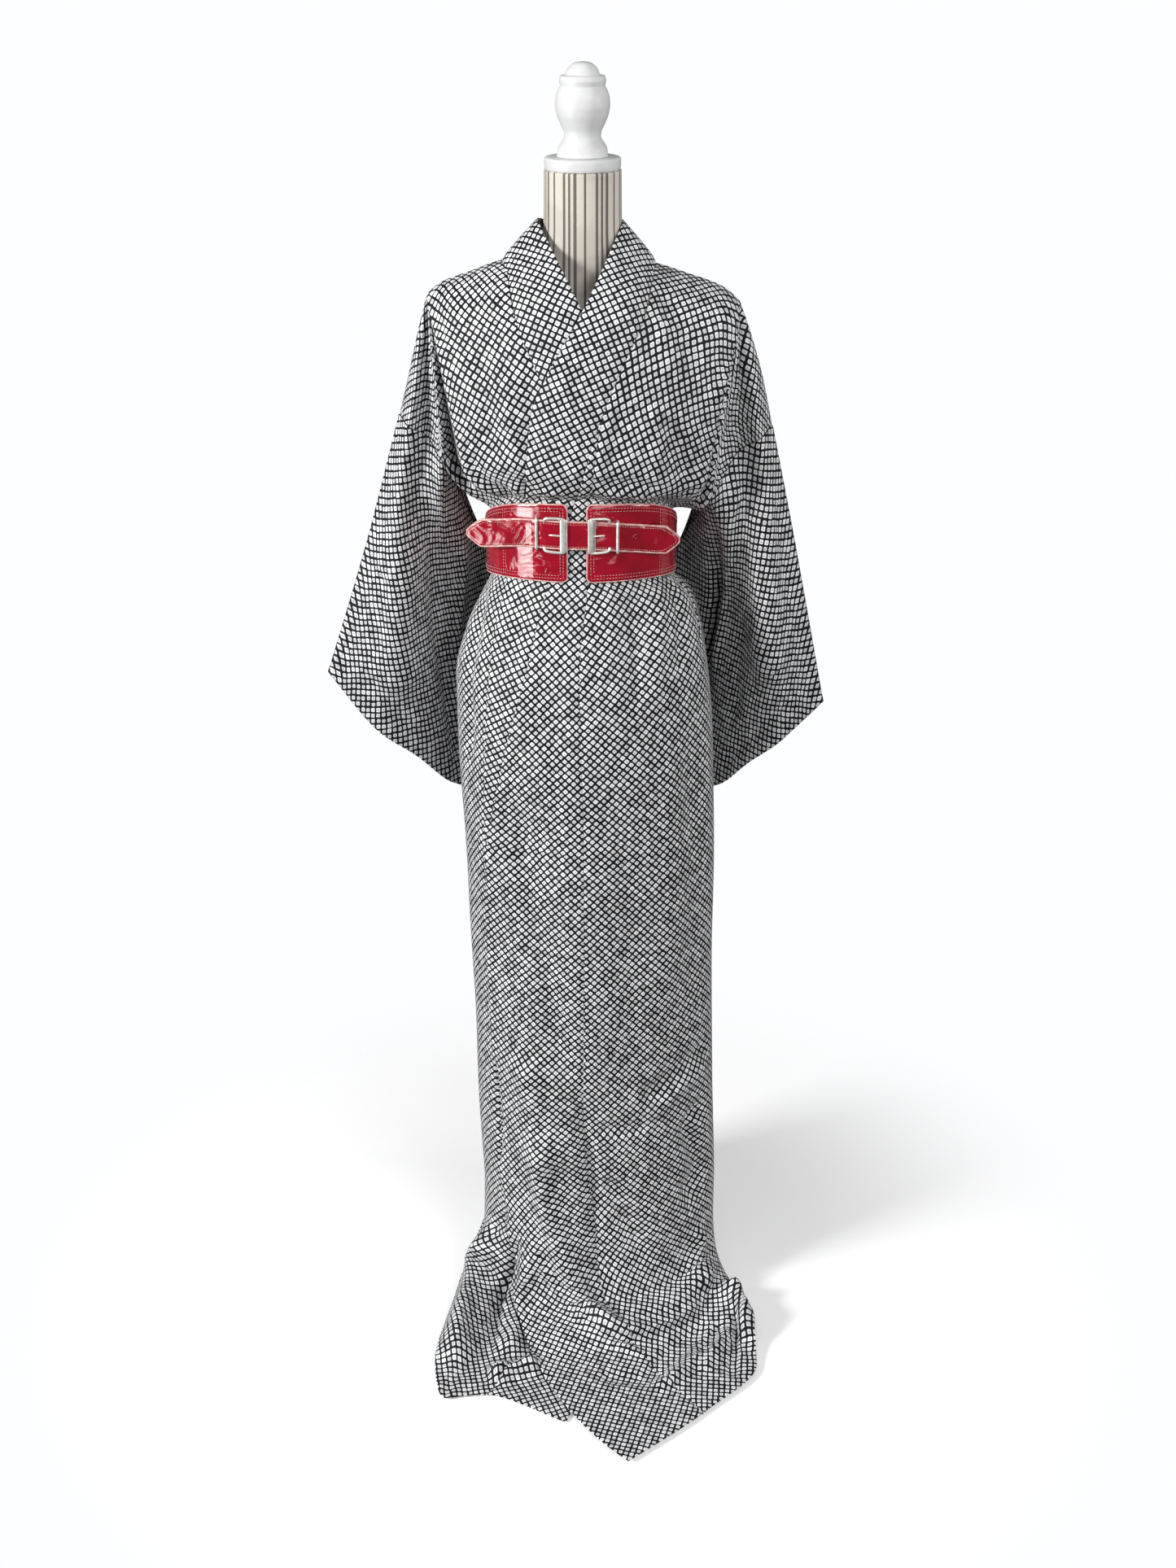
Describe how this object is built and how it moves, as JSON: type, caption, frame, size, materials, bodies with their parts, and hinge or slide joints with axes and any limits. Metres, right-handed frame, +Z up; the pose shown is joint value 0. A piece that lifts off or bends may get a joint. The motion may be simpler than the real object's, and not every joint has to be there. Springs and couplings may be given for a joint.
{
  "type": "komon kimono on a limbless dress form",
  "caption": "Small-patterned kimono crossed left over right, pooled at the hem, cinched by a wide leather belt, on a dress form.",
  "frame": {"origin": "on the floor under the dress form's neck, at the centre of the round base's underside", "axes": "+Z up along the form's neck, -Y towards the garment's front, +X towards the wearer's left"},
  "size_m": [0.6262, 0.702, 1.598],
  "materials": {
    "cloth": "tie-dyed dots on black silk",
    "belt": "patent",
    "metal": "brushed",
    "ticking": "striped ticking, matt",
    "paint": "white paint"
  },
  "bodies": {
    "root": {"body_left": "cloth", "body_right": "cloth", "okumi_left": "cloth", "okumi_right": "cloth", "collar": "cloth", "sleeve_left": "cloth", "sleeve_right": "cloth", "belt_band": "belt", "belt_strap": "belt", "buckle_left": "metal", "buckle_right": "metal", "prong_left": "metal", "prong_right": "metal", "keeper_left": "metal", "keeper_right": "metal", "form_torso": "ticking", "form_collar": "paint", "form_finial": "paint", "form_pole": "paint", "form_base": "paint"}
  },
  "joints": []
}
